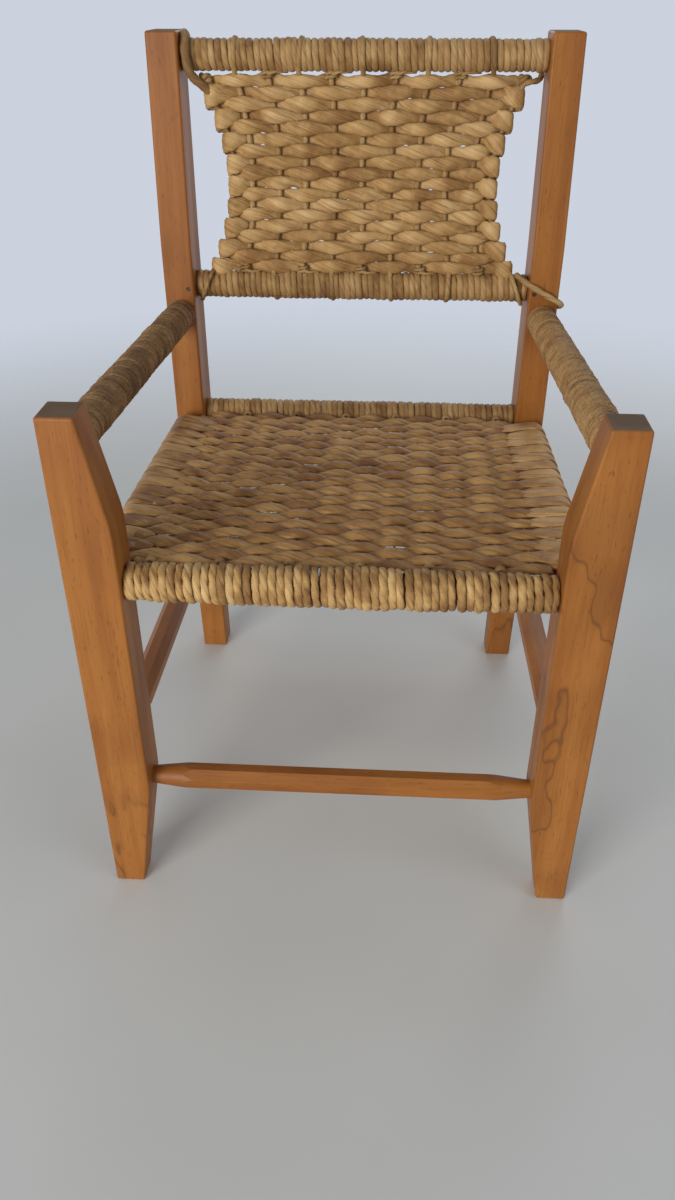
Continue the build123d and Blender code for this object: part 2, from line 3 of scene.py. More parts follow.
import bpy
import numpy as np
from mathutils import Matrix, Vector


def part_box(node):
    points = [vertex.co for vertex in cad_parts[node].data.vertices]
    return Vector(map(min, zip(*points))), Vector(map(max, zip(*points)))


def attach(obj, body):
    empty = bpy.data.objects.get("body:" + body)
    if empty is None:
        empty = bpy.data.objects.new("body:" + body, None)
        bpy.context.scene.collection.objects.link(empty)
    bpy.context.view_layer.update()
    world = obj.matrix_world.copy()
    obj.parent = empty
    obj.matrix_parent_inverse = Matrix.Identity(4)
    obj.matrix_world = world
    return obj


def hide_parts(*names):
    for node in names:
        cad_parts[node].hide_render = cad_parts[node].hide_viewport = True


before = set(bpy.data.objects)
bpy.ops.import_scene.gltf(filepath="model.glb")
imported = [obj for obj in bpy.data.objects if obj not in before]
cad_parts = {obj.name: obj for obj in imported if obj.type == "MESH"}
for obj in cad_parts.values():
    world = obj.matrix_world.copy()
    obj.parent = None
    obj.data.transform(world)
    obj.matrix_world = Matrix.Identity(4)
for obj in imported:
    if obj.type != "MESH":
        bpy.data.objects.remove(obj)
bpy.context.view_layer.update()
bpy.ops.object.select_all(action="DESELECT")

# ------------------------------------------------------------------ camera and studio
# The camera stands in front of the chair, a little above its back, and looks down at the seat.
# The chair stands on a plain pale floor in soft light that comes mostly from the front left.
camera_focal_length = 28.5
camera_place = (0.0274, -0.661, 0.579)
camera_turn = (radians(57.0), 0, radians(3.3))
bpy.ops.object.camera_add(location=camera_place, rotation=camera_turn)
bpy.context.object.data.lens = camera_focal_length
bpy.context.scene.camera = bpy.context.object
bpy.context.scene.view_settings.view_transform = "Standard"


def soft_lamp(name, place, aim, size, power, colour):
    """A square soft lamp at a place, turned to face a point."""
    away = [end - start for start, end in zip(place, aim)]
    turn = atan2(away[1], away[0]) - pi / 2
    tilt = atan2(hypot(away[0], away[1]), -away[2])
    bpy.ops.object.light_add(type="AREA", location=place, rotation=(tilt, 0, turn))
    lamp = bpy.context.object
    lamp.name = name
    lamp.data.size = size
    lamp.data.energy = power
    lamp.data.color = colour


chair_middle = (0, 0, 0.28)
warm_white = (1.0, 0.98, 0.95)
cool_white = (0.95, 0.97, 1.0)
plain_white = (0.96, 0.98, 1.0)
soft_lamp("window_light", (-1.2, -2.0, 0.70), chair_middle, size=1.2, power=39, colour=warm_white)
soft_lamp("right_fill", (1.7, -1.2, 1.1), chair_middle, size=1.4, power=7, colour=cool_white)
soft_lamp("back_fill", (0.4, 1.9, 1.3), chair_middle, size=1.6, power=10, colour=plain_white)

sky_colour = (0.80, 0.84, 0.92)
sky_strength = 0.30
backdrop_colour = (0.60, 0.645, 0.73)
world = bpy.context.scene.world or bpy.data.worlds.new("studio")
bpy.context.scene.world = world
world.use_nodes = True
sky = world.node_tree
lighting = sky.nodes["Background"]
lighting.inputs["Color"].default_value = (*sky_colour, 1)
lighting.inputs["Strength"].default_value = sky_strength
backdrop = sky.nodes.new("ShaderNodeBackground")
backdrop.inputs["Color"].default_value = (*backdrop_colour, 1)
rays = sky.nodes.new("ShaderNodeLightPath")
seen = rays.outputs["Is Camera Ray"]
for other_ray in ("Is Glossy Ray", "Is Transmission Ray"):
    either = sky.nodes.new("ShaderNodeMath")
    either.operation = "MAXIMUM"
    sky.links.new(seen, either.inputs[0])
    sky.links.new(rays.outputs[other_ray], either.inputs[1])
    seen = either.outputs[0]
shown = sky.nodes.new("ShaderNodeMixShader")
sky.links.new(seen, shown.inputs["Fac"])
sky.links.new(lighting.outputs[0], shown.inputs[1])
sky.links.new(backdrop.outputs[0], shown.inputs[2])
sky.links.new(shown.outputs[0], sky.nodes["World Output"].inputs["Surface"])


class Finish:
    """A material under construction: its node tree, its shader and short ways to add nodes."""

    def __init__(self, name, roughness):
        self.material = bpy.data.materials.new(name)
        self.material.use_nodes = True
        self.tree = self.material.node_tree
        self.shader = self.tree.nodes["Principled BSDF"]
        self.shader.inputs["Roughness"].default_value = roughness

    def add(self, kind, inputs=None, **settings):
        """A new node; an input is given a value or the socket that feeds it."""
        node = self.tree.nodes.new(kind)
        for name, value in settings.items():
            setattr(node, name, value)
        for name, value in (inputs or {}).items():
            if isinstance(value, bpy.types.NodeSocket):
                self.tree.links.new(value, node.inputs[name])
            else:
                node.inputs[name].default_value = value
        return node

    def ramp(self, factor, stops):
        """A colour ramp's colour, from (place, colour) stops; a number stands for a grey."""
        node = self.add("ShaderNodeValToRGB", {"Fac": factor})
        elements = node.color_ramp.elements
        while len(elements) < len(stops):
            elements.new(0.5)
        for element, (place, colour) in zip(elements, stops):
            grey = isinstance(colour, (int, float))
            element.position = place
            element.color = (colour, colour, colour, 1) if grey else (*colour, 1)
        return node.outputs["Color"]

    def mix(self, factor, first, second, blend="MIX"):
        """One colour laid over another."""
        node = self.add("ShaderNodeMix", data_type="RGBA", blend_type=blend)
        for index, value in ((0, factor), (6, first), (7, second)):
            if isinstance(value, bpy.types.NodeSocket):
                self.tree.links.new(value, node.inputs[index])
            elif index == 0:
                node.inputs[index].default_value = value
            else:
                node.inputs[index].default_value = (*value, 1)
        return node.outputs[2]

    def math(self, operation, first, second=0.5, third=0.5):
        """A sum worked out at each point."""
        inputs = {0: first, 1: second, 2: third}
        return self.add("ShaderNodeMath", inputs, operation=operation).outputs[0]

    def noise(self, vector, scale, detail=3.0, roughness=0.55):
        """Cloudy noise over a vector, and its value."""
        settings = {"Vector": vector, "Scale": scale, "Detail": detail, "Roughness": roughness}
        return self.add("ShaderNodeTexNoise", settings).outputs["Fac"]

    def stretched(self, vector, scale, place=(0, 0, 0), turn=(0, 0, 0)):
        """A vector that is moved, turned and stretched."""
        inputs = {"Vector": vector, "Location": place, "Rotation": turn, "Scale": scale}
        return self.add("ShaderNodeMapping", inputs).outputs["Vector"]

    def feed(self, socket, value):
        """Link a value to one of the shader's sockets."""
        self.tree.links.new(value, self.shader.inputs[socket])

    def bump(self, height, strength, depth):
        """Raise the surface by a height pattern."""
        inputs = {"Height": height, "Strength": strength, "Distance": depth}
        self.feed("Normal", self.add("ShaderNodeBump", inputs).outputs["Normal"])


# the floor's paint is a little cloudy, and the floor fades into the backdrop away from the chair
floor_radius = 1.6
fade_start, fade_end = 0.55, 1.5
floor_shade = (0.68, 0.69, 0.66)
floor_tint = (0.73, 0.74, 0.71)
floor_finish = Finish("floor_paint", roughness=0.5)
floor_place = floor_finish.add("ShaderNodeTexCoord").outputs["Object"]
floor_cloud = floor_finish.noise(floor_place, scale=3.0)
floor_colour = floor_finish.ramp(floor_cloud, ((0.3, floor_shade), (0.7, floor_tint)))
floor_finish.feed("Base Color", floor_colour)
far = floor_finish.add("ShaderNodeVectorMath", {0: floor_place}, operation="LENGTH").outputs["Value"]
fade = floor_finish.add(
    "ShaderNodeMapRange",
    {"Value": far, "From Min": fade_start, "From Max": fade_end},
    interpolation_type="SMOOTHSTEP",
).outputs["Result"]
gone = floor_finish.add("ShaderNodeBsdfTransparent").outputs[0]
floor_shader = floor_finish.shader.outputs[0]
faded = floor_finish.add("ShaderNodeMixShader", {0: fade, 1: floor_shader, 2: gone}).outputs[0]
floor_finish.tree.links.new(faded, floor_finish.tree.nodes["Material Output"].inputs["Surface"])
bpy.ops.mesh.primitive_circle_add(vertices=96, radius=floor_radius, fill_type="NGON")
floor = bpy.context.object
floor.name = "floor"
floor.data.materials.append(floor_finish.material)

# --------------------------------------------------------------------------- frame wood
# The legs, posts, rails and stretchers are honey-brown hardwood under satin varnish. The grain
# runs along each piece, the sawn ends are dull, and thin dark stain lines wander up from the feet.
wood_light = (0.420, 0.167, 0.034)
wood_middle = (0.357, 0.128, 0.023)
wood_dark = (0.247, 0.078, 0.0135)
wood_line = (0.100, 0.038, 0.014)
end_grain_light = (0.170, 0.115, 0.070)
end_grain_dark = (0.085, 0.056, 0.036)
rubbed_edge = 0.0020


def wood_finish(name, grain_axis, shift, stain_top):
    """Varnished wood whose grain runs along an axis, with stain lines up to a height."""
    wood = Finish(name, roughness=0.42)
    where = wood.add("ShaderNodeTexCoord")
    place = where.outputs["Object"]
    slow = [1.0, 1.0, 1.0]
    slow[grain_axis] = 0.05
    grain = wood.stretched(place, slow, shift)
    figure = wood.noise(grain, scale=70, detail=4.0, roughness=0.6)
    streaks = wood.noise(grain, scale=650, detail=2.0, roughness=0.5)
    clouds = wood.noise(wood.stretched(place, (1, 1, 1), shift), scale=11, detail=2.0)
    colour = wood.ramp(figure, ((0.30, wood_light), (0.52, wood_middle), (0.80, wood_dark)))
    colour = wood.mix(wood.ramp(streaks, ((0.50, 0.0), (0.72, 0.38))), colour, wood_dark)
    colour = wood.mix(wood.ramp(clouds, ((0.45, 0.0), (0.70, 0.38))), colour, wood_dark, "MULTIPLY")

    # pores are short dark flecks along the grain
    slow[grain_axis] = 0.16
    pores = wood.noise(wood.stretched(place, slow, shift), scale=950, detail=1.0, roughness=0.4)
    sparse = wood.noise(wood.stretched(place, (1, 1, 0.5), shift), scale=60, detail=1.0)
    fleck = wood.math("MULTIPLY", wood.ramp(pores, ((0.66, 0.0), (0.72, 0.75))), sparse)
    colour = wood.mix(fleck, colour, wood_line)

    # a stain line follows one level of a slow noise, and stops at the height it had soaked to
    slow[grain_axis] = 0.42
    soak = wood.noise(wood.stretched(place, slow, shift), scale=19, detail=3.0, roughness=0.5)
    level = wood.math("ABSOLUTE", wood.math("SUBTRACT", soak, 0.5))
    line = wood.ramp(level, ((0.0, 0.60), (0.005, 0.40), (0.013, 0.0)))
    shade = wood.ramp(soak, ((0.48, 0.0), (0.50, 0.16)))
    height = wood.add("ShaderNodeSeparateXYZ", {"Vector": place}).outputs["Z"]
    uneven = wood.math("MULTIPLY_ADD", clouds, 0.05, height)
    full_stain, no_stain = stain_top + 0.015, stain_top + 0.045
    soaked = wood.add(
        "ShaderNodeMapRange",
        {"Value": uneven, "From Min": full_stain, "From Max": no_stain, "To Min": 1.0, "To Max": 0.0},
    ).outputs["Result"]
    stain = wood.math("MULTIPLY", wood.math("MAXIMUM", line, shade), soaked)
    colour = wood.mix(stain, colour, wood_line)

    # the sawn ends are duller and darker, with fine rings
    normal = wood.add("ShaderNodeSeparateXYZ", {"Vector": where.outputs["Normal"]})
    facing = wood.math("ABSOLUTE", normal.outputs[grain_axis])
    ends = wood.ramp(facing, ((0.86, 0.0), (0.96, 0.90)))
    ring_place = wood.stretched(place, (1, 1, 1), (0.05, 0.09, 0))
    ring_settings = {"Vector": ring_place, "Scale": 48, "Distortion": 5.0, "Detail": 2}
    rings = wood.add("ShaderNodeTexWave", ring_settings, wave_type="RINGS").outputs["Fac"]
    sawn = wood.mix(wood.math("MULTIPLY", rings, clouds), end_grain_light, end_grain_dark)
    colour = wood.mix(ends, colour, sawn)

    # handled edges are rubbed a little paler
    soft_normal = wood.add("ShaderNodeBevel", {"Radius": rubbed_edge}, samples=4).outputs["Normal"]
    sharp_normal = wood.add("ShaderNodeNewGeometry").outputs["True Normal"]
    both = {0: soft_normal, 1: sharp_normal}
    same_way = wood.add("ShaderNodeVectorMath", both, operation="DOT_PRODUCT").outputs["Value"]
    edge = wood.ramp(same_way, ((0.80, 0.6), (0.97, 0.0)))
    colour = wood.mix(wood.math("MULTIPLY", edge, clouds), colour, wood_light)

    wood.feed("Base Color", colour)
    satin = wood.ramp(figure, ((0.3, 0.38), (0.8, 0.54)))
    wood.feed("Roughness", wood.mix(ends, satin, (0.85, 0.85, 0.85)))
    wood.shader.inputs["Specular IOR Level"].default_value = 0.3
    wood.bump(wood.math("ADD", figure, streaks), strength=0.2, depth=0.0003)
    return wood.material


across, deep, upright = 0, 1, 2
unstained = -1.0
wood_sticks = {
    "front_leg_left": (upright, (0.11, 0.02, 0.0), 0.075),
    "front_leg_right": (upright, (0.37, 0.05, 0.1), 0.33),
    "back_post_left": (upright, (0.63, 0.21, 0.2), unstained),
    "back_post_right": (upright, (0.91, 0.33, 0.3), 0.06),
    "stretcher_front": (across, (0.2, 0.41, 0.5), unstained),
    "stretcher_back": (across, (0.3, 0.53, 0.6), unstained),
    "stretcher_left": (deep, (0.1, 0.67, 0.7), unstained),
    "stretcher_right": (deep, (0.5, 0.71, 0.8), unstained),
    "seat_rail_front": (across, (0.6, 0.13, 0.9), unstained),
    "seat_rail_back": (across, (0.7, 0.17, 0.4), unstained),
    "seat_rail_left": (deep, (0.8, 0.19, 0.3), unstained),
    "seat_rail_right": (deep, (0.9, 0.23, 0.2), unstained),
    "arm_rail_left": (deep, (0.4, 0.29, 0.1), unstained),
    "arm_rail_right": (deep, (0.5, 0.31, 0.2), unstained),
    "back_rail_bottom": (across, (0.6, 0.37, 0.3), unstained),
    "back_rail_top": (across, (0.7, 0.39, 0.4), unstained),
}
for stick, (grain_axis, shift, stain_top) in wood_sticks.items():
    finish = wood_finish(f"varnished_{stick}", grain_axis, shift, stain_top)
    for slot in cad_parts[stick].material_slots:
        slot.material = finish

# --------------------------------------------------------------------------- frame nails
# A plain wire nail holds each end of the lower back rail. Its head is dull, dark steel.
nail_rusty = (0.045, 0.032, 0.026)
nail_bare = (0.12, 0.09, 0.07)
nail = Finish("nail_steel", roughness=0.5)
nail.shader.inputs["Metallic"].default_value = 0.7
nail_place = nail.add("ShaderNodeTexCoord").outputs["Object"]
rust = nail.noise(nail_place, scale=900)
nail.feed("Base Color", nail.ramp(rust, ((0.35, nail_rusty), (0.7, nail_bare))))
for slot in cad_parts["frame_nails"].material_slots:
    slot.material = nail.material

# -------------------------------------------------------------------- rope on the front rail
# The front seat rail is bound with thick two-ply grass rope, laid on turn by turn. Each turn
# sits a little differently, and the binding is fattest in the middle of the rail.
rng = np.random.default_rng(20)


def wander(distance, step, spread):
    """A smooth random drift along a strand: a new value at each step, eased from one to the next."""
    stops = rng.normal(0, spread, int(distance[-1] / step) + 3)
    place = distance / step
    index = place.astype(int)
    share = place - index
    ease = share * share * (3 - 2 * share)
    return stops[index] * (1 - ease) + stops[index + 1] * ease


def unit(vectors):
    """Vectors of length one."""
    return vectors / np.linalg.norm(vectors, axis=-1, keepdims=True)


def distance_along(points):
    """How far each point lies along the line through them all."""
    steps = np.linalg.norm(np.diff(points, axis=0), axis=1)
    return np.concatenate([[0], np.cumsum(steps)])


def lay_strand(
    route, outward, wide, thick, corners, plies, groove, lay,
    sharp=2, twisted=True, under=None, tone_step=0.06,
):
    """Roll a grid into a closed strand along a route, and return its object.

    wide and thick are half sizes across and outward; under is the inner half thickness. Between
    its plies run grooves, narrower where sharp is more. A twisted strand turns its plies with it,
    once each lay; otherwise only its pleats run slantwise. Its tone drifts at each tone_step.
    """
    route = np.asarray(route, dtype=float)
    rings = len(route)
    wide = np.broadcast_to(wide, rings).copy()
    thick = np.broadcast_to(thick, rings).copy()
    under = thick.copy() if under is None else np.broadcast_to(under, rings).copy()
    for size in (wide, thick, under):
        size[[0, -1]] = 0
    along = unit(np.gradient(route, axis=0))
    side = unit(np.cross(along, np.broadcast_to(outward, (rings, 3))))
    rise = np.cross(side, along)
    distance = distance_along(route)
    turn = (2 * pi * distance / lay)[:, None]
    corner = np.linspace(0, 2 * pi, corners + 1)[None, :]
    angle = corner + turn if twisted else corner + 0 * turn
    pleat = corner + 0 * turn if twisted else corner + turn
    reach = 1 - groove * np.abs(np.cos(plies * pleat / 2)) ** sharp
    out = np.sin(angle)
    lift = np.where(out > 0, thick[:, None], under[:, None]) * out * reach
    spread = wide[:, None] * np.cos(angle) * reach
    ring_middles, ring_sides, ring_rises = route[:, None, :], side[:, None, :], rise[:, None, :]
    points = ring_middles + ring_sides * spread[..., None] + ring_rises * lift[..., None]

    bpy.ops.mesh.primitive_grid_add(x_subdivisions=corners, y_subdivisions=rings - 1, size=1)
    strand = bpy.context.object
    mesh = strand.data
    mesh.vertices.foreach_set("co", points.reshape(-1))
    girth = pi * (wide.max() + thick.max())
    across_uv = pleat / (2 * pi) * girth
    along_uv = np.broadcast_to(distance[:, None] + rng.uniform(0, 9), across_uv.shape)
    vertex_uv = np.stack([across_uv, along_uv], axis=-1).reshape(-1, 2)
    owner = np.empty(len(mesh.loops), dtype=np.int32)
    mesh.loops.foreach_get("vertex_index", owner)
    mesh.uv_layers[0].data.foreach_set("uv", vertex_uv[owner].reshape(-1))
    tone = np.clip(rng.uniform(0.3, 0.7) + wander(distance, tone_step, 0.25), 0, 1)
    colouring = mesh.attributes.new("tone", "FLOAT", "POINT")
    colouring.data.foreach_set("value", np.repeat(tone, corners + 1))
    return strand


def gather(name, strands, finish, slot_name, *nodes):
    """Join strands into one closed, smooth piece that rides on the chair in place of CAD nodes."""
    bpy.ops.object.select_all(action="DESELECT")
    for strand in strands:
        strand.select_set(True)
    bpy.context.view_layer.objects.active = strands[0]
    if len(strands) > 1:
        bpy.ops.object.join()
    piece = bpy.context.object
    piece.name = name
    piece.data.name = name
    bpy.ops.object.mode_set(mode="EDIT")
    bpy.ops.mesh.select_all(action="SELECT")
    bpy.ops.mesh.remove_doubles(threshold=0.000002)
    bpy.ops.mesh.normals_make_consistent(inside=False)
    bpy.ops.object.mode_set(mode="OBJECT")
    bpy.ops.object.shade_smooth()
    piece.data.materials.clear()
    piece.data.materials.append(finish)
    piece.select_set(False)
    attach(piece, "root")
    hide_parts(*nodes)


def straw_finish(name, pale, middle, dark, fibre_turn, fibre_scale, shine):
    """Dry grass or palm leaf: long fibres along the strand, with paler and browner patches."""
    straw = Finish(name, roughness=0.62)
    place = straw.add("ShaderNodeTexCoord").outputs["Object"]
    laid = straw.add("ShaderNodeUVMap").outputs["UV"]
    turned = straw.stretched(laid, (1, 1, 1), turn=(0, 0, fibre_turn))
    fine_way = straw.stretched(turned, (1, 0.035, 1))
    coarse_way = straw.stretched(turned, (1, 0.05, 1))
    fine = straw.noise(fine_way, scale=fibre_scale, detail=2.0, roughness=0.6)
    coarse = straw.noise(coarse_way, scale=fibre_scale * 0.28, detail=2.0)
    clouds = straw.noise(place, scale=55, detail=3.0)
    tone = straw.add("ShaderNodeAttribute", attribute_name="tone").outputs["Fac"]
    level = straw.math("ADD", straw.math("MULTIPLY_ADD", tone, 0.42, -0.21), clouds)
    colour = straw.ramp(level, ((0.34, pale), (0.52, middle), (0.74, dark)))
    colour = straw.mix(straw.ramp(coarse, ((0.46, 0.0), (0.72, 0.70))), colour, dark)
    colour = straw.mix(straw.ramp(fine, ((0.52, 0.0), (0.72, 0.60))), colour, dark, "MULTIPLY")
    colour = straw.mix(straw.ramp(fine, ((0.24, 0.60), (0.44, 0.0))), colour, pale)
    straw.feed("Base Color", colour)
    straw.feed("Roughness", straw.ramp(coarse, ((0.3, 0.46), (0.7, 0.70))))
    straw.shader.inputs["Sheen Weight"].default_value = 0.06
    straw.shader.inputs["Specular IOR Level"].default_value = shine
    straw.bump(straw.math("MULTIPLY_ADD", coarse, 1.7, fine), strength=0.6, depth=0.0005)
    return straw.material


def wind(
    start, end, core, pitch, wide, thick, rings, corners, plies, groove, sharp, lay, loose, swell
):
    """One strand wound turn by turn round a rail of radius core, from start to end.

    rings is its points a turn, loose is how far its turns stray, and swell fattens the middle.
    """
    start = np.array(start)
    axis = np.array(end) - start
    length = np.linalg.norm(axis)
    axis = axis / length
    up = unit(np.array([0, 0, 1.0]) - axis * axis[2])
    front = np.cross(axis, up)
    turns = round(length / pitch) + 1
    share = np.linspace(0, 1, turns * rings + 1)
    angle = 2 * pi * turns * share
    radial = np.cos(angle)[:, None] * up + np.sin(angle)[:, None] * front
    count = share * turns
    advance = -pitch / 2 + (length + pitch) * share + wander(count, 1.0, loose * pitch)
    end_room = 0.8 * wide
    advance = np.clip(advance, end_room, length - end_room)
    fatness = 1 + np.clip(wander(count, 0.8, 0.06), -0.10, 0.14)
    sag = np.abs(wander(count, 1.1, loose * thick)) + np.clip(wander(count, 0.5, loose * thick), 0, 1)
    hug = core + thick * fatness + swell * np.sin(pi * share) + sag
    route = start + axis * advance[:, None] + radial * hug[:, None]
    sizes = (wide * fatness, thick * (1.2 * fatness - 0.2))
    return lay_strand(route, radial, *sizes, corners, plies, groove, lay, sharp, tone_step=0.04)


def rail_ends(node):
    """The middles of the two ends of a straight binding that lies along X."""
    low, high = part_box(node)
    middle = ((low[1] + high[1]) / 2, (low[2] + high[2]) / 2)
    return (low[0], *middle), (high[0], *middle)


front_rope = ((0.720, 0.480, 0.205), (0.600, 0.365, 0.132), (0.290, 0.145, 0.044))
seat_rope_finish = straw_finish("seat_rope_grass", *front_rope, radians(-24), 1500, 0.3)
rail_core = 0.0073
front_binding = wind(
    *rail_ends("seat_front_wrap"),
    core=rail_core,
    pitch=0.0053,
    wide=0.0030,
    thick=0.0025,
    rings=32,
    corners=14,
    plies=2,
    groove=0.20,
    sharp=5,
    lay=0.021,
    loose=0.06,
    swell=0.0013,
)
gather("front_rail_rope", [front_binding], seat_rope_finish, "seat_rope", "seat_front_wrap")

# ---------------------------------------------------------------- rope on the other rails
# The back seat rail and both back rails are bound with thinner rope that is hardly twisted.
rail_rope = ((0.574, 0.365, 0.156), (0.476, 0.281, 0.105), (0.262, 0.131, 0.041))
rail_rope_finish = straw_finish("rail_rope_grass", *rail_rope, radians(-8), 1700, 0.3)
for binding, node in (
    ("seat_back_rail_rope", "seat_back_wrap"),
    ("lower_back_rail_rope", "back_bottom_wrap"),
    ("top_rail_rope", "back_top_wrap"),
):
    rope = wind(
        *rail_ends(node),
        core=rail_core,
        pitch=0.0049,
        wide=0.0028,
        thick=0.00185,
        rings=30,
        corners=12,
        plies=2,
        groove=0.09,
        sharp=6,
        lay=0.030,
        loose=0.07,
        swell=0.0002,
    )
    gather(binding, [rope], rail_rope_finish, "rail_rope", node)

# ------------------------------------------------------------------------- arm bindings
# Each arm is bound from end to end with a fine twisted strand, close-laid and slightly uneven.
# The left arm's strand has darkened, and the right one is still pale.
arm_outer_radius = 0.0122
arm_core = 0.0096
dark_arm_straw = ((0.45, 0.265, 0.100), (0.305, 0.158, 0.056), (0.148, 0.066, 0.024))
pale_arm_straw = ((0.52, 0.310, 0.120), (0.410, 0.225, 0.078), (0.225, 0.105, 0.031))
for side, sign, slot_name, straws in (
    ("left", -1, "arm_strand_dark", dark_arm_straw),
    ("right", 1, "arm_strand_pale", pale_arm_straw),
):
    arm_finish = straw_finish(f"arm_straw_{side}", *straws, radians(-12), 2000, 0.3)
    low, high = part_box(f"arm_wrap_{side}")
    wide_x = max(abs(low[0]), abs(high[0])) - arm_outer_radius
    narrow_x = min(abs(low[0]), abs(high[0])) + arm_outer_radius
    front_end = (sign * wide_x, low[1], high[2] - arm_outer_radius)
    back_end = (sign * narrow_x, high[1], low[2] + arm_outer_radius)
    strand = wind(
        front_end,
        back_end,
        core=arm_core,
        pitch=0.0025,
        wide=0.0015,
        thick=0.0012,
        rings=28,
        corners=7,
        plies=0,
        groove=0,
        sharp=2,
        lay=0.009,
        loose=0.20,
        swell=0.0,
    )
    gather(f"arm_binding_{side}", [strand], arm_finish, slot_name, f"arm_wrap_{side}")

# --------------------------------------------------------------------- seat warp cords
# Twelve two-ply grass cords run from the front rail to the back rail under tension. Every
# second one is tied off with a small hitch at the front rail, and the others at the back rail.
warp_radius = 0.002
seat_cord_radius = 0.0010
cord_colours = ((0.55, 0.36, 0.15), (0.46, 0.28, 0.10), (0.26, 0.135, 0.045))
cord_finish = straw_finish("warp_cord_grass", *cord_colours, radians(-20), 1700, 0.3)
seat_warp_count = 12
seat_rows = 34
seat_low, seat_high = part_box("seat_warps")
seat_front_y, seat_back_y = seat_low[1], seat_high[1]
seat_front_z = seat_high[2] - warp_radius
seat_back_z = seat_low[2] + warp_radius
seat_warp_reach = seat_high[0] - warp_radius
seat_warp_pitch = 2 * seat_warp_reach / (seat_warp_count - 1)
weft_low, weft_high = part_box("seat_wefts")
seat_row_pitch = (weft_high[1] - weft_low[1]) / seat_rows
seat_sag = 0.0015
seat_half_width = 0.142
seat_hitch_thread = 0.0015
front_hitch_gap, back_hitch_gap = 0.0012, 0.0014
seat_hitch_lift = 0.0012


def seat_height(x, y):
    """Height of the seat's middle plane, which falls to the back and sags a little."""
    share = (y - seat_front_y) / (seat_back_y - seat_front_y)
    dish = (1 - (x / seat_half_width) ** 2) * 4 * share * (1 - share)
    return seat_front_z + (seat_back_z - seat_front_z) * share - seat_sag * np.clip(dish, 0, 1)


def hitch(centre, along, core, thread, turns):
    """A few tight turns of cord round a warp, where it is tied off."""
    along = unit(np.array(along, dtype=float))
    first = unit(np.cross(along, (1.0, 0.0, 0.0)))
    second = np.cross(along, first)
    points_a_turn = 18
    angle = np.linspace(0, 2 * pi * turns, int(points_a_turn * turns))
    radial = np.cos(angle)[:, None] * first + np.sin(angle)[:, None] * second
    turn_spacing = thread * 1.7
    step = np.linspace(-0.5, 0.5, len(angle)) * turns * turn_spacing
    route = np.array(centre) + along * step[:, None] + radial * (core + thread)
    return lay_strand(route, radial, thread, thread, 8, plies=2, groove=0.25, lay=0.009)


seat_rise = unit(np.array([0, seat_front_z - seat_back_z, seat_back_y - seat_front_y]))
seat_way = unit(np.array([0, seat_back_y - seat_front_y, seat_back_z - seat_front_z]))
seat_cords = []
for warp in range(seat_warp_count):
    x = (warp - (seat_warp_count - 1) / 2) * seat_warp_pitch
    y = np.linspace(seat_front_y, seat_back_y, 150)
    sway = wander(y - y[0], 0.04, 0.0004)
    route = np.stack([x + sway, y, seat_height(x, y)], axis=1)
    size = seat_cord_radius
    seat_cords.append(lay_strand(route, (0, 0, 1), size, size, 8, plies=2, groove=0.3, lay=0.011))
    tied_y = seat_front_y + front_hitch_gap if warp % 2 == 0 else seat_back_y - back_hitch_gap
    tied = (x, tied_y, seat_height(x, tied_y) + seat_hitch_lift)
    seat_cords.append(hitch(tied, seat_way, core=size, thread=seat_hitch_thread, turns=1.8))
gather("seat_warp_cords", seat_cords, cord_finish, "warp_cord", "seat_warps")

# ------------------------------------------------------------------------- seat weave
# Bundles of palm leaf pass over one cord and under the next, row by row, packed so tight that
# they hide the cords. A bundle is puffed out over each cord, and pinched as it dives.
seat_palm = ((0.61, 0.355, 0.125), (0.460, 0.245, 0.076), (0.245, 0.103, 0.030))
seat_palm_finish = straw_finish("seat_palm_leaf", *seat_palm, 0, 1000, 0.3)


def weave_row(x, plane, sign, first_warp, pitch, widths, swing, body, notch, taper, ways):
    """A palm bundle along X that waves over and under the warps; plane(x) is its middle line.

    sign is 1 where it passes over the first warp. widths are its half widths over a warp, between
    two warps and under a warp, and its ends draw in to a point over the taper.
    """
    over_width, free_width, under_width = widths
    row_way, out_way = ways
    most_uneven = 0.13
    end_share = 0.12
    bulk_shift = 0.5
    notch_depth = 0.75
    travelled = x - x[0]
    wave = sign * np.cos(pi * (x - first_warp) / pitch)
    uneven = 1 + np.clip(wander(travelled, pitch, 0.07), -most_uneven, most_uneven)
    from_end = np.minimum(travelled, travelled[-1] - travelled)
    fullness = np.sin(pi / 2 * np.clip(from_end / taper, 0, 1))
    uneven = uneven * (end_share + (1 - end_share) * fullness)
    held_width = np.where(wave > 0, over_width, under_width)
    wide = (free_width + (held_width - free_width) * np.abs(wave) ** 1.4) * uneven
    drift = wander(travelled, pitch * 0.9, 0.0004)
    lift = swing * wave + wander(travelled, pitch, 0.0002)
    route = plane(x) + row_way * drift[:, None] + out_way * lift[:, None]
    # where a cord holds it, the bundle is nipped by a narrow notch; its bulk lies on the far side
    held_down = np.exp(-(((1 + wave) / notch) ** 2))
    held_up = np.exp(-(((1 - wave) / notch) ** 2))
    thick = body * (1 + bulk_shift * wave) * uneven * (1 - notch_depth * held_down)
    under = body * (1 - bulk_shift * wave) * uneven * (1 - notch_depth * held_up)
    return lay_strand(
        route,
        out_way,
        wide,
        thick,
        corners=20,
        plies=7,
        groove=0.13,
        lay=0.075,
        twisted=False,
        under=under,
        tone_step=pitch,
    )


def seat_line(y):
    """The middle line of a seat row."""
    return lambda x: np.stack([x, np.full_like(x, y), seat_height(x, y)], axis=1)


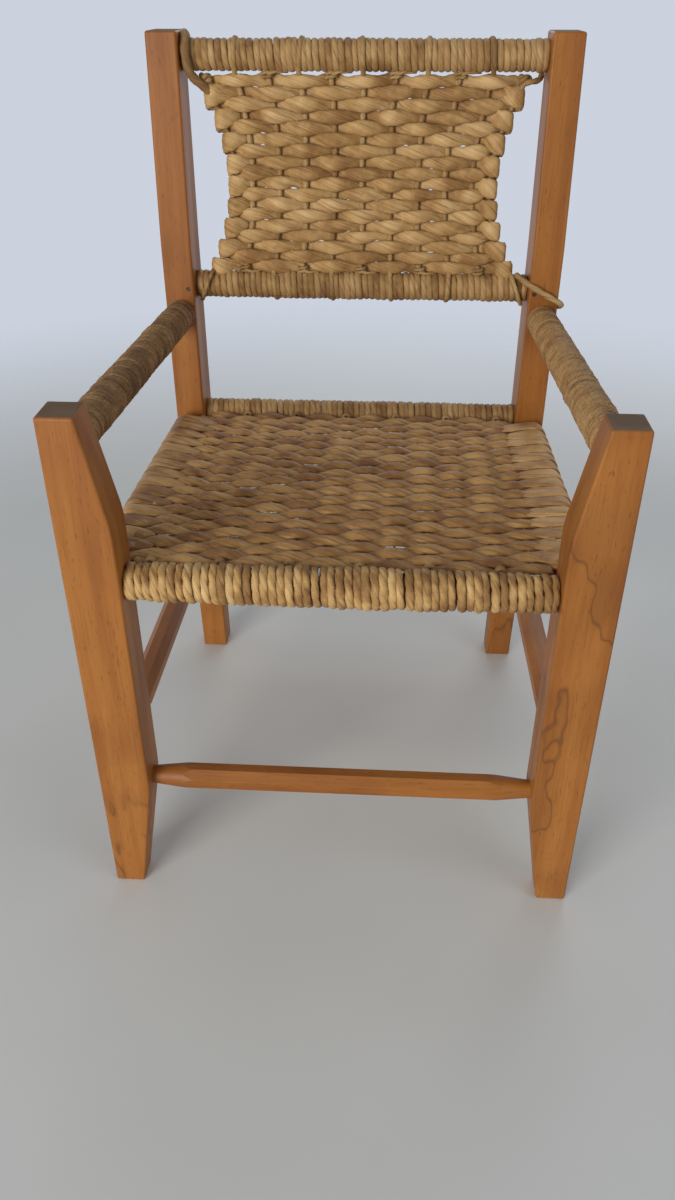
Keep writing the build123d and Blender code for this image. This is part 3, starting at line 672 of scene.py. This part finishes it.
first_seat_warp = -seat_warp_reach
room_beside_wood = 0.0012
leg_inside = -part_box("front_leg_left")[1][0]
leg_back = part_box("front_leg_left")[1][1]
post_inside = -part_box("back_post_left")[1][0]
post_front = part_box("back_post_left")[0][1]
palm_rows = []
for row in range(seat_rows):
    y = weft_low[1] + (row + 0.5) * seat_row_pitch
    reach = seat_half_width
    if y - seat_row_pitch / 2 < leg_back:
        reach = leg_inside - room_beside_wood
    if y + seat_row_pitch / 2 > post_front:
        reach = post_inside - room_beside_wood
    x = np.linspace(-reach, reach, 240)
    palm_rows.append(
        weave_row(
            x,
            seat_line(y),
            1 if row % 2 == 1 else -1,
            first_seat_warp,
            seat_warp_pitch,
            widths=(0.0069, 0.0048, 0.0067),
            swing=0.0012,
            body=0.0023,
            notch=0.006,
            taper=0.002,
            ways=(seat_way, seat_rise),
        )
    )
half_rows = seat_rows // 2
for half, rows in (("front", palm_rows[:half_rows]), ("back", palm_rows[half_rows:])):
    gather(f"seat_palm_rows_{half}", rows, seat_palm_finish, "seat_palm", "seat_wefts")

# ------------------------------------------------------------------ turns on the side rails
# At each side of the seat the palm goes out over the rail, round it and back underneath, one
# broad turn for each pair of rows. The right side's leaf is newer, paler, and laid overlapping.
seat_side_outer = 0.0113
side_core = 0.0083
leaf_thickness = 0.0012
leaf_taper = 0.016
beside_rail = 0.0015
above_weave, below_weave = 0.0016, 0.0040
pale_palm = ((0.72, 0.430, 0.160), (0.590, 0.325, 0.105), (0.340, 0.163, 0.045))
pale_palm_finish = straw_finish("side_palm_leaf", *pale_palm, 0, 900, 0.3)
for side, sign, finish, slot_name, inner_reach, half_width, tilt in (
    ("left", -1, seat_palm_finish, "seat_palm", 0.028, 0.0080, 0.0),
    ("right", 1, pale_palm_finish, "seat_palm_pale", 0.032, 0.0102, 0.11),
):
    low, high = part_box(f"seat_band_{side}")
    wide_x = max(abs(low[0]), abs(high[0])) - seat_side_outer
    narrow_x = min(abs(low[0]), abs(high[0])) + seat_side_outer
    bands = []
    for pair in range(2, seat_rows - 2, 2):
        y = weft_low[1] + (pair + 1) * seat_row_pitch
        if y - half_width < low[1] or y + half_width > high[1]:
            continue
        share = (y - low[1]) / (high[1] - low[1])
        rail_x = wide_x + (narrow_x - wide_x) * share
        rail_z = high[2] - seat_side_outer + (low[2] - high[2] + 2 * seat_side_outer) * share
        reach = inner_reach * rng.uniform(0.9, 1.1)
        plane_z = seat_height(rail_x - reach, y)
        hug = side_core + leaf_thickness * rng.uniform(1.0, 1.25)
        angle = np.linspace(pi / 2, -pi / 2, 26)
        round_rail = np.stack([rail_x + hug * np.cos(angle), rail_z + hug * np.sin(angle)], axis=1)
        inward = np.linspace(reach, beside_rail, 22)
        ease = (inward / reach) ** 1.4
        top_z = (rail_z + hug) * (1 - ease) + (plane_z + above_weave) * ease
        low_z = (rail_z - hug) * (1 - ease) + (plane_z - below_weave) * ease
        over = np.stack([rail_x - inward, top_z], axis=1)
        beneath = np.stack([rail_x - inward[::-1], low_z[::-1]], axis=1)
        section = np.concatenate([over, round_rail, beneath])
        travelled = distance_along(section)
        lean = np.linspace(-0.5, 0.5, len(section)) * seat_row_pitch * rng.uniform(0.7, 1.3)
        route = np.stack([sign * section[:, 0], y + lean, section[:, 1]], axis=1)
        turn_way = unit(np.gradient(section, axis=0))
        tipped = np.full(len(section), tilt)
        outward = np.stack([sign * -turn_way[:, 1], tipped, turn_way[:, 0]], axis=1)
        from_end = np.minimum(travelled, travelled[-1] - travelled)
        fullness = np.sin(pi / 2 * np.clip(from_end / leaf_taper, 0, 1))
        wide = half_width * (0.18 + 0.82 * fullness) * rng.uniform(0.95, 1.05)
        size = (wide, leaf_thickness)
        leaf = lay_strand(route, outward, *size, 26, plies=9, groove=0.12, lay=0.16, twisted=False)
        bands.append(leaf)
    gather(f"side_turns_{side}", bands, finish, slot_name, f"seat_band_{side}")

# --------------------------------------------------------------------- back warp cords
# One long cord zigzags between the two bound back rails as nine warps. At every second warp it
# comes over the front of the top rail, and at the others over the front of the lower one; the
# other ends are hitched. Two more cords, at the edges, are drawn in by the palm round them.
back_warp_count = 9
back_rows = 18
back_cord_radius = 0.0022
under_top_rail = 0.0016
rail_wrap_radius = 0.011
cord_clearance = 0.0003
sunk_in_wrap = -0.0004
waist_share = 0.905
back_hitch_core, back_hitch_thread = 0.0019, 0.0016
back_hitch_gap = 0.0012
hitch_forward = 0.0004
run_drop = 0.0020
run_radius = 0.0014
back_low, back_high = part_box("back_warps")
back_y = (back_low[1] + back_high[1]) / 2
back_warp_reach = back_high[0] - warp_radius
back_warp_pitch = 2 * back_warp_reach / (back_warp_count - 1)
palm_low, palm_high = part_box("back_wefts")
panel_bottom, panel_top = palm_low[2], palm_high[2]
panel_middle = (panel_bottom + panel_top) / 2
back_row_pitch = (panel_top - under_top_rail - panel_bottom) / back_rows
top_rail_z = rail_ends("back_top_wrap")[0][2]
low_rail_z = rail_ends("back_bottom_wrap")[0][2]


def drawn_in(z):
    """The warps' spacing at a height, as a share of that at the rails."""
    off_waist = (z - panel_middle) / ((panel_top - panel_bottom) / 2)
    return waist_share + (1 - waist_share) * np.clip(off_waist**2, 0, 1)


def smooth_route(points, spacing=0.001):
    """Evenly spaced points along a smooth curve that is guided by a few points."""
    curve = bpy.data.curves.new("route", "CURVE")
    curve.dimensions = "3D"
    spline = curve.splines.new("NURBS")
    spline.points.add(len(points) - 1)
    for guide, point in zip(spline.points, points):
        guide.co = (*point, 1)
    spline.order_u = 3
    spline.use_endpoint_u = True
    spline.resolution_u = 12
    holder = bpy.data.objects.new("route", curve)
    line = bpy.data.meshes.new_from_object(holder)
    places = np.empty(len(line.vertices) * 3)
    line.vertices.foreach_get("co", places)
    places = places.reshape(-1, 3)
    bpy.data.objects.remove(holder)
    bpy.data.curves.remove(curve)
    bpy.data.meshes.remove(line)
    travelled = distance_along(places)
    even = np.linspace(0, travelled[-1], max(8, int(travelled[-1] / spacing)))
    return np.stack([np.interp(even, travelled, places[:, axis]) for axis in range(3)], axis=1)


def over_rail(rail_z, rise, start_x, end_x, start_angle, end_angle, steps):
    """Guide points that lead a cord over the front of a bound rail, at a rise above the rope.

    The angles are from straight up, and grow towards the front.
    """
    half_step = (end_angle - start_angle) / (steps - 1) / 2
    reach = (rail_wrap_radius + rise) / cos(half_step)
    points = []
    for step in range(steps):
        share = step / (steps - 1)
        angle = start_angle + (end_angle - start_angle) * share
        x = start_x + (end_x - start_x) * share
        points.append((x, back_y - reach * sin(angle), rail_z + reach * cos(angle)))
    return points


def rope_on(points, radius, groove=0.22, lay=0.014, flatness=1.0):
    """A two-ply cord along a smooth curve through guide points."""
    route = smooth_route(points)
    along = unit(np.gradient(route, axis=0))
    steady = np.broadcast_to((0.31, -0.87, 0.38), along.shape)
    outward = unit(steady - along * np.sum(along * steady, axis=1, keepdims=True))
    thick = radius * flatness
    return lay_strand(route, outward, radius, thick, 9, plies=2, groove=groove, sharp=4, lay=lay)


back_cords = []
for warp in range(back_warp_count):
    z = np.linspace(back_low[2], back_high[2], 110)
    rail_x = (warp - (back_warp_count - 1) / 2) * back_warp_pitch
    x = rail_x * drawn_in(z) + wander(z - z[0], 0.03, 0.0004)
    route = np.stack([x, np.full_like(z, back_y), z], axis=1)
    size = back_cord_radius
    cord = lay_strand(route, (0, -1, 0), size, size, 12, plies=2, groove=0.14, sharp=3, lay=0.016)
    back_cords.append(cord)
    comes_over_top = warp % 2 == 0
    tied_z = back_low[2] + back_hitch_gap if comes_over_top else back_high[2] - back_hitch_gap
    tied = (rail_x, back_y - hitch_forward, tied_z)
    back_cords.append(hitch(tied, (0, 0, 1), back_hitch_core, back_hitch_thread, turns=1.9))
    start_x = rail_x + rng.uniform(-0.003, 0.003)
    if comes_over_top:
        over = over_rail(top_rail_z, sunk_in_wrap, start_x, rail_x, radians(-25), radians(150), 7)
        tail = [(rail_x, back_y - 0.0012, back_high[2] - 0.006)]
    else:
        over = over_rail(low_rail_z, sunk_in_wrap, start_x, rail_x, radians(205), radians(30), 7)
        tail = [(rail_x, back_y - 0.0012, back_low[2] + 0.006)]
    back_cords.append(rope_on(over + tail, back_cord_radius, groove=0.12))
    # from its hitch the cord runs along beside the rail to the next warp
    run_z = tied_z - run_drop if comes_over_top else tied_z + run_drop
    run = [
        (rail_x, back_y - 0.0036, tied_z),
        (rail_x + 0.004, back_y - 0.0040, run_z),
        (rail_x + 0.011, back_y - 0.0010, run_z),
        (rail_x + 0.016, back_y + 0.0030, run_z),
    ]
    if warp < back_warp_count - 1:
        back_cords.append(rope_on(run, run_radius))
gather("back_warp_cords", back_cords, cord_finish, "warp_cord", "back_warps")

edge_low, edge_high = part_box("back_edge_cord_right")
edge_waist = edge_low[0] + warp_radius
edge_ends = edge_high[0] - warp_radius


def edge_place(z):
    """How far out an edge cord is at a height."""
    share = (z - (edge_low[2] + edge_high[2]) / 2) / ((edge_high[2] - edge_low[2]) / 2)
    return edge_waist + (edge_ends - edge_waist) * np.clip(share, -1, 1) ** 2


for side, sign in (("left", -1), ("right", 1)):
    z = np.linspace(edge_low[2], edge_high[2], 120)
    route = np.stack([sign * edge_place(z), np.full_like(z, back_y), z], axis=1)
    size = warp_radius
    edge = lay_strand(route, (0, -1, 0), size, size, 9, plies=2, groove=0.22, sharp=3, lay=0.016)
    gather(f"edge_cord_{side}", [edge], cord_finish, "warp_cord", f"back_edge_cord_{side}")

# ------------------------------------------------------------------------- back weave
# The back is woven like the seat but looser, from cleaner, more golden leaf: the bundles are
# rounder, and short stretches of cord show between them.
back_palm = ((0.66, 0.430, 0.188), (0.530, 0.316, 0.116), (0.310, 0.156, 0.048))
back_palm_finish = straw_finish("back_palm_leaf", *back_palm, 0, 950, 0.3)
back_widths = (0.0059, 0.0043, 0.0079)
top_row_share = 0.85
point_behind_cord, stop_at_twist = 0.0010, 0.0045
long_taper, short_taper = 0.013, 0.004
towards_front = np.array([0, -1.0, 0])
up_panel = np.array([0, 0, 1.0])


def back_line(z):
    """The middle line of a back row."""
    return lambda x: np.stack([x, np.full_like(x, back_y), np.full_like(x, z)], axis=1)


back_palm_rows = []
for row in range(back_rows):
    z = panel_bottom + (row + 0.5) * back_row_pitch
    share = float(drawn_in(z))
    # a row over the outer warps ends in a long point behind each edge cord, the others under a twist
    over_outer_warps = row % 2 == 1
    reach = edge_place(z) - (point_behind_cord if over_outer_warps else stop_at_twist)
    row_share = top_row_share if row == back_rows - 1 else 1.0
    x = np.linspace(-reach, reach, 190)
    back_palm_rows.append(
        weave_row(
            x,
            back_line(z),
            1 if over_outer_warps else -1,
            -back_warp_reach * share,
            back_warp_pitch * share,
            widths=[width * row_share for width in back_widths],
            swing=0.0034,
            body=0.0020,
            notch=0.01,
            taper=long_taper if over_outer_warps else short_taper,
            ways=(up_panel, towards_front),
        )
    )
gather("back_palm_rows", back_palm_rows, back_palm_finish, "back_palm", "back_wefts")

# ------------------------------------------------------------ turns round the edge cords
# An even row goes behind the outer warp, comes forward over the edge cord in a fat twist, goes
# round it, and comes back behind it as the odd row below. The lowest has only the rail below it.
twist_end_width, twist_swell = 0.0024, 0.0056
twist_end_thick, twist_thick_swell = 0.0012, 0.0012
lowest_drop_share = 0.4
for side, sign in (("left", -1), ("right", 1)):
    twists = []
    for even_row in range(0, back_rows, 2):
        even_z = panel_bottom + (even_row + 0.5) * back_row_pitch
        drop = back_row_pitch if even_row else lowest_drop_share * back_row_pitch
        edge_x = float(edge_place(even_z - drop / 2))
        guides = [
            (edge_x - 0.0140, back_y + 0.0032, even_z),
            (edge_x - 0.0095, back_y + 0.0006, even_z),
            (edge_x - 0.0030, back_y - 0.0046, even_z - 0.15 * drop),
            (edge_x + 0.0034, back_y - 0.0038, even_z - 0.30 * drop),
            (edge_x + 0.0046, back_y + 0.0004, even_z - 0.50 * drop),
            (edge_x + 0.0030, back_y + 0.0044, even_z - 0.75 * drop),
            (edge_x - 0.0040, back_y + 0.0046, even_z - 0.92 * drop),
            (edge_x - 0.0110, back_y + 0.0020, even_z - drop),
        ]
        route = smooth_route([(sign * x, y, z) for x, y, z in guides], 0.0008)
        along = unit(np.gradient(route, axis=0))
        outward = sign * np.stack([along[:, 1], -along[:, 0], 0 * along[:, 0]], axis=1)
        share = np.linspace(0, 1, len(route))
        fullness = np.sin(pi * share**0.85) ** 0.7
        wide = (twist_end_width + twist_swell * fullness) * rng.uniform(0.93, 1.05)
        thick = twist_end_thick + twist_thick_swell * fullness
        size = (wide, thick)
        twist = lay_strand(route, outward, *size, 24, plies=7, groove=0.16, lay=0.05, twisted=False)
        twists.append(twist)
    gather(f"edge_turns_{side}", twists, back_palm_finish, "back_palm", f"back_edge_turns_{side}")

# ------------------------------------------------------------------------- corner ties
# At the top corners a thick strand comes over the rail's end and is knotted to the edge cord.
# At the bottom corners the edge cord goes on over the front of the lower rail.
tie_radius = 0.0027
knot_size, knot_thread = 0.0026, 0.0021
knot_reach = 0.0045
knot_height = top_rail_z - rail_wrap_radius - cord_clearance - knot_reach
second_cord_radius = 0.0014
second_cord_offset = 0.0038
thick_strand_radius = 0.0037


def overhand_knot(centre, size, thread):
    """A lumpy knot: a closed loop that passes three times round itself."""
    turn = np.linspace(0, 2 * pi, 90)
    ring = size * (1 + 0.45 * np.cos(3 * turn))
    knot_x = ring * np.cos(2 * turn)
    knot_y = 0.8 * ring * np.sin(2 * turn)
    knot_z = 0.75 * size * np.sin(3 * turn)
    route = np.stack([knot_x, knot_y, knot_z], axis=1)
    place = route + np.array(centre)
    return lay_strand(place, unit(route), thread, thread, 8, plies=2, groove=0.2, lay=0.012)


corner_ropes = []
top_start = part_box("corner_ties")[1][0] - tie_radius
on_wrap = warp_radius + cord_clearance
leaves_cord_z = edge_low[2] + 0.006
lead_start, lead_end = edge_ends + 0.001, top_start - 0.0005
for sign in (-1, 1):
    edge_x = float(edge_place(edge_high[2]))
    knot_place = (sign * edge_x, back_y - 0.0010, knot_height)
    corner_ropes.append(overhand_knot(knot_place, knot_size, knot_thread))
    start = [(float(edge_place(leaves_cord_z)), back_y, leaves_cord_z)]
    lead = over_rail(low_rail_z, on_wrap, lead_start, lead_end, radians(5), radians(150), 6)
    route = [(sign * x, y, z) for x, y, z in start + lead]
    corner_ropes.append(rope_on(route, warp_radius))
# from the knots the edge cord's other end runs down beside it, as far as the first twist
for sign in (-1, 1):
    beside = [
        (sign * (float(edge_place(height)) - second_cord_offset), back_y - 0.0016, height)
        for height in (knot_height - 0.001, knot_height - 0.007, knot_height - 0.014)
    ]
    corner_ropes.append(rope_on(beside, second_cord_radius))
on_wrap = tie_radius + cord_clearance
lead_start, lead_end = -top_start + 0.001, -top_start + 0.003
left_top = over_rail(top_rail_z, on_wrap, lead_start, lead_end, radians(-40), radians(95), 5)
left_top += [
    (-0.1300, back_y - 0.0125, top_rail_z - 0.0120),
    (-0.1240, back_y - 0.0080, top_rail_z - 0.0185),
    (-0.1165, back_y - 0.0035, top_rail_z - 0.0245),
]
right_top = [
    (0.1335, back_y + 0.0115, top_rail_z - 0.0080),
    (0.1345, back_y + 0.0060, top_rail_z - 0.0140),
    (0.1300, back_y - 0.0030, top_rail_z - 0.0165),
    (0.1240, back_y - 0.0060, top_rail_z - 0.0165),
    (0.1190, back_y - 0.0050, top_rail_z - 0.0190),
    (0.1165, back_y - 0.0030, top_rail_z - 0.0250),
]
corner_ropes.append(rope_on(left_top, thick_strand_radius, groove=0.12, lay=0.022, flatness=0.68))
corner_ropes.append(rope_on(right_top, tie_radius * 0.85))
gather("corner_ropes", corner_ropes, cord_finish, "warp_cord", "corner_ties")

# ---------------------------------------------------------------------------- post tie
# A loose end of rope leaves the lower back rail, crosses the right post's front above the arm
# and turns back along the post's outer face.
tie_height = low_rail_z + rail_wrap_radius + cord_clearance
inner_face, outer_face = 0.1385, 0.1630
post_face = back_y - 0.0195
post_rope_radius = 0.0025
post_points = [
    (inner_face - 0.0105, post_face + 0.0130, tie_height + 0.0010),
    (inner_face - 0.0050, post_face - 0.0040, tie_height - 0.0010),
    (outer_face + 0.0010, post_face - 0.0040, tie_height - 0.0170),
    (outer_face + 0.0040, post_face + 0.0040, tie_height - 0.0210),
    (outer_face + 0.0030, post_face + 0.0160, tie_height - 0.0250),
]
post_rope = rope_on(post_points, post_rope_radius, groove=0.16, lay=0.022)
gather("post_rope", [post_rope], cord_finish, "warp_cord", "post_tie")
